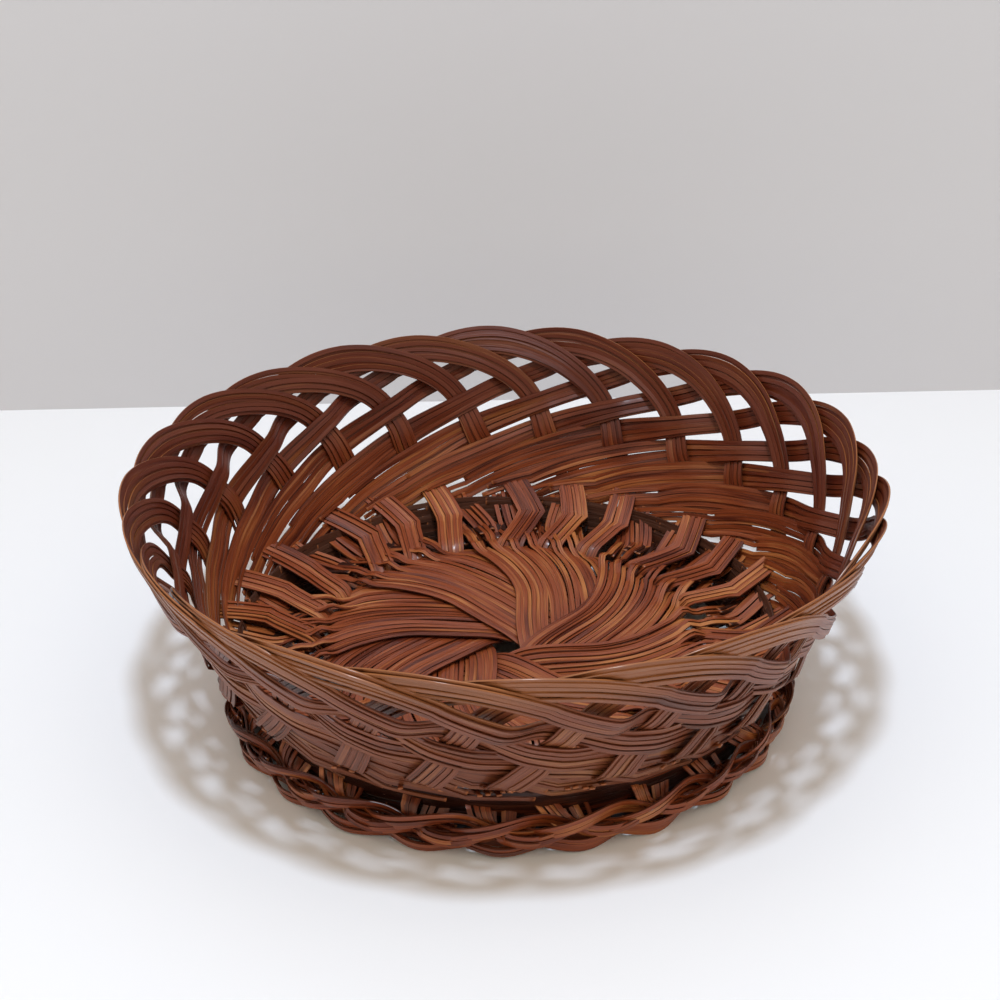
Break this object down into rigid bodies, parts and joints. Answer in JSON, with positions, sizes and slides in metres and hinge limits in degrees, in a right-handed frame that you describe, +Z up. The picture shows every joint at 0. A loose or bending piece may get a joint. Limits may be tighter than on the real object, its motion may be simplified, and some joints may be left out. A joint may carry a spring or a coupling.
{
  "type": "rattan basket",
  "caption": "Round open rattan basket: flat bundles of split cane cross the floor, rise and arch over the rim, weave down round the flared wall and end in a plaited foot.",
  "frame": {"origin": "middle of the foot, on the table", "axes": "+Z up through the open mouth; the floor's first band points 11.3 degrees anticlockwise of +X"},
  "size_m": [0.2791, 0.2791, 0.094],
  "materials": {
    "rattan": "stained reddish brown, clear varnish"
  },
  "bodies": {
    "root": {"stake_01": "rattan", "stake_02": "rattan", "stake_03": "rattan", "stake_04": "rattan", "stake_05": "rattan", "stake_06": "rattan", "stake_07": "rattan", "stake_08": "rattan", "stake_09": "rattan", "stake_10": "rattan", "stake_11": "rattan", "stake_12": "rattan", "stake_13": "rattan", "stake_14": "rattan", "stake_15": "rattan", "stake_16": "rattan", "stake_17": "rattan", "stake_18": "rattan", "stake_19": "rattan", "stake_20": "rattan", "stake_21": "rattan", "stake_22": "rattan", "stake_23": "rattan", "stake_24": "rattan"}
  },
  "joints": []
}
